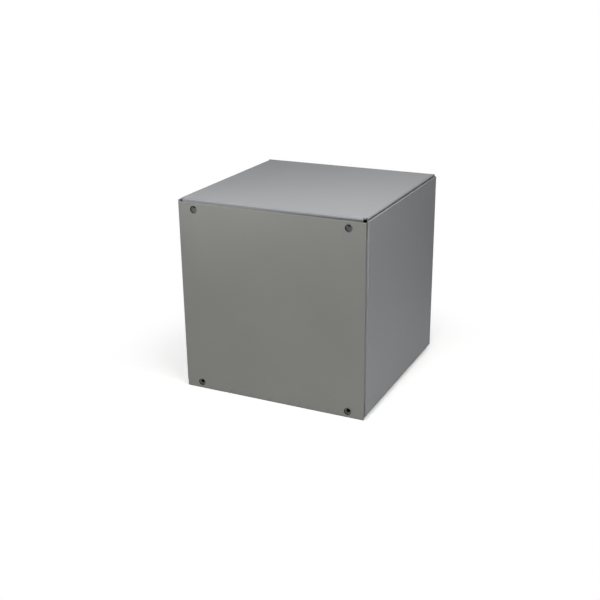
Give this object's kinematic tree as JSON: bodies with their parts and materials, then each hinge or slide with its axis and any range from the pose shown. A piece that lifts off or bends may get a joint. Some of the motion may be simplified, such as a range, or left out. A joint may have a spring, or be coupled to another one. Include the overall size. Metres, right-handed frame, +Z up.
{
  "type": "sheet metal enclosure",
  "caption": "Square sheet-metal enclosure with folded front flanges, weld-tabbed corners and a flat front cover with screw holes at its corners, painted satin grey.",
  "frame": {"origin": "on the standing surface, under the middle of the box with its cover on", "axes": "+X to the right seen from the front, +Y towards the back, +Z up"},
  "size_m": [0.1524, 0.1484, 0.1519],
  "materials": {
    "body_paint": "satin",
    "cover_paint": "satin"
  },
  "bodies": {
    "enclosure": {"enclosure_body": "body_paint"},
    "cover": {"front_cover": "cover_paint"}
  },
  "joints": [
    {"name": "cover_pull", "type": "slide", "parent": "enclosure", "child": "cover", "axis": [0, -1, 0], "range_m": [0, 0.2]}
  ]
}
